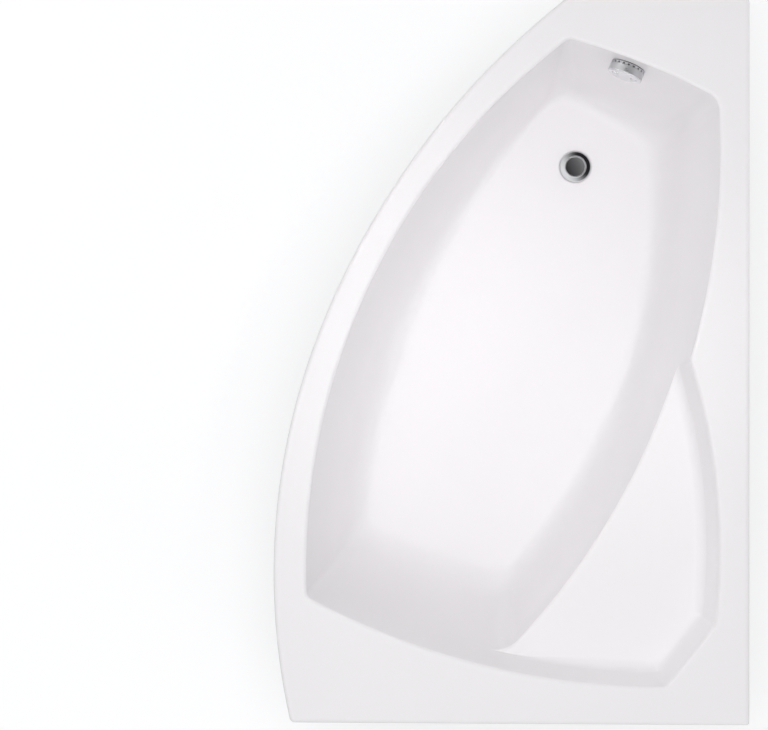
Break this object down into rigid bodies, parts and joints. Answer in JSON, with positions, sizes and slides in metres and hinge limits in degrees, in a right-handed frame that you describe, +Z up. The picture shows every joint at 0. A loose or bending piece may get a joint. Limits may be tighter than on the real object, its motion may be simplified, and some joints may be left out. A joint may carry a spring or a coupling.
{
  "type": "corner bathtub",
  "caption": "Asymmetric white acrylic corner bath with a side seat, curved metal apron, steel under-frame on adjustable feet, and remote-controlled waste, overflow and trap.",
  "frame": {"origin": "on the floor, at the centre of the bath's bounding box", "axes": "+X towards the wall along the long side, +Y towards the narrow drain end, -Y towards the wide backrest end at the room corner, +Z up"},
  "size_m": [1, 1.53, 0.6],
  "materials": {
    "acrylic": "gloss white sanitary acrylic",
    "laminate": "rough glass-fibre laminate",
    "chipboard": "raw chipboard",
    "galvanised": "galvanised sheet steel",
    "screw_steel": "zinc-plated steel",
    "foot_grey": "moulded grey plastic",
    "nut_black": "moulded black plastic",
    "brushed_panel": "vertically brushed grey aluminium sheet",
    "strip_white": "white coated aluminium strip",
    "chrome": "polished chrome plating",
    "seal_rubber": "moulded rubber",
    "gloss_black": "gloss black moulded plastic",
    "matte_black": "matte charcoal moulded plastic",
    "hose_black": "flexible black plastic"
  },
  "bodies": {
    "tub": {"bath_shell": "acrylic", "laminate_skin": "laminate", "base_board": "chipboard", "cross_drain_bar": "galvanised", "cross_head_bar": "galvanised", "board_screws": "screw_steel", "frame_nuts": "screw_steel", "joining_strip_1": "galvanised", "joining_strip_2": "galvanised", "tab_screws": "screw_steel", "flange_gasket": "seal_rubber", "waste_flange": "chrome", "waste_gasket": "seal_rubber", "waste_body": "gloss_black", "mechanism_cover": "gloss_black", "union_nut": "gloss_black", "overflow_gasket": "seal_rubber", "overflow_ring": "chrome", "rear_gasket": "seal_rubber", "overflow_body": "gloss_black", "overflow_screws": "screw_steel", "overflow_hose": "hose_black", "bowden_cable": "hose_black", "cable_gland_nut": "gloss_black", "cable_sleeve": "hose_black", "lower_cable_gland": "gloss_black", "trap_nut": "matte_black"},
    "knob": {"overflow_knob": "chrome", "knob_shaft": "screw_steel", "cable_crank": "gloss_black"},
    "plug": {"plug_cap": "chrome", "plug_seal": "seal_rubber", "plug_stem": "screw_steel"},
    "lever": {"lift_lever": "gloss_black", "lift_pivot_pin": "screw_steel"},
    "trap": {"trap_body": "matte_black", "trap_lid": "matte_black"},
    "outlet": {"outlet_elbow": "matte_black", "outlet_sleeve": "matte_black"},
    "foot_1": {"foot_pad_1": "foot_grey", "foot_spindle_1": "screw_steel", "foot_locknut_1": "nut_black"},
    "foot_2": {"foot_pad_2": "foot_grey", "foot_spindle_2": "screw_steel", "foot_locknut_2": "nut_black"},
    "foot_3": {"foot_pad_3": "foot_grey", "foot_spindle_3": "screw_steel", "foot_locknut_3": "nut_black"},
    "foot_4": {"foot_pad_4": "foot_grey", "foot_spindle_4": "screw_steel", "foot_locknut_4": "nut_black"},
    "panel_1": {"apron_panel_1": "brushed_panel", "notched_strip_1": "strip_white"},
    "panel_2": {"apron_panel_2": "brushed_panel", "notched_strip_2": "strip_white"},
    "panel_3": {"apron_panel_3": "brushed_panel", "notched_strip_3": "strip_white"}
  },
  "joints": [
    {"name": "knob_turn", "type": "hinge", "parent": "tub", "child": "knob", "pos_m": [0.25, 0.62529, 0.524], "axis": [-0.3654, -0.9241, 0.1117], "range_deg": [0, 90]},
    {"name": "plug_lift", "type": "slide", "parent": "tub", "child": "plug", "axis": [0, 0, 1], "range_m": [0, 0.009]},
    {"name": "lever_swing", "type": "hinge", "parent": "tub", "child": "lever", "pos_m": [0.16055, 0.46337, 0.131], "axis": [-0.883, 0.4693, 0], "range_deg": [0, 17]},
    {"name": "trap_swivel", "type": "hinge", "parent": "tub", "child": "trap", "pos_m": [0.146, 0.436, 0.1], "axis": [0, 0, 1], "range_deg": [-15, 25]},
    {"name": "outlet_swivel", "type": "hinge", "parent": "trap", "child": "outlet", "pos_m": [0.232, 0.436, 0.1], "axis": [0, 0, 1], "range_deg": [-30, 35]},
    {"name": "foot_1_height", "type": "slide", "parent": "tub", "child": "foot_1", "axis": [0, 0, 1], "range_m": [-0.03, 0]},
    {"name": "foot_2_height", "type": "slide", "parent": "tub", "child": "foot_2", "axis": [0, 0, 1], "range_m": [-0.03, 0]},
    {"name": "foot_3_height", "type": "slide", "parent": "tub", "child": "foot_3", "axis": [0, 0, 1], "range_m": [-0.03, 0]},
    {"name": "foot_4_height", "type": "slide", "parent": "tub", "child": "foot_4", "axis": [0, 0, 1], "range_m": [-0.03, 0]},
    {"name": "panel_1_off", "type": "slide", "parent": "tub", "child": "panel_1", "axis": [-0.9999, -0.0163, 0], "range_m": [0, 0.1]},
    {"name": "panel_2_off", "type": "slide", "parent": "tub", "child": "panel_2", "axis": [-0.926, 0.3776, 0], "range_m": [0, 0.1]},
    {"name": "panel_3_off", "type": "slide", "parent": "tub", "child": "panel_3", "axis": [-0.7433, 0.669, 0], "range_m": [0, 0.1]}
  ],
  "couplings": [
    {"joint": "plug_lift", "follows": "knob_turn", "m_per_rad": 0.00572},
    {"joint": "lever_swing", "follows": "knob_turn", "ratio": 0.1888}
  ]
}
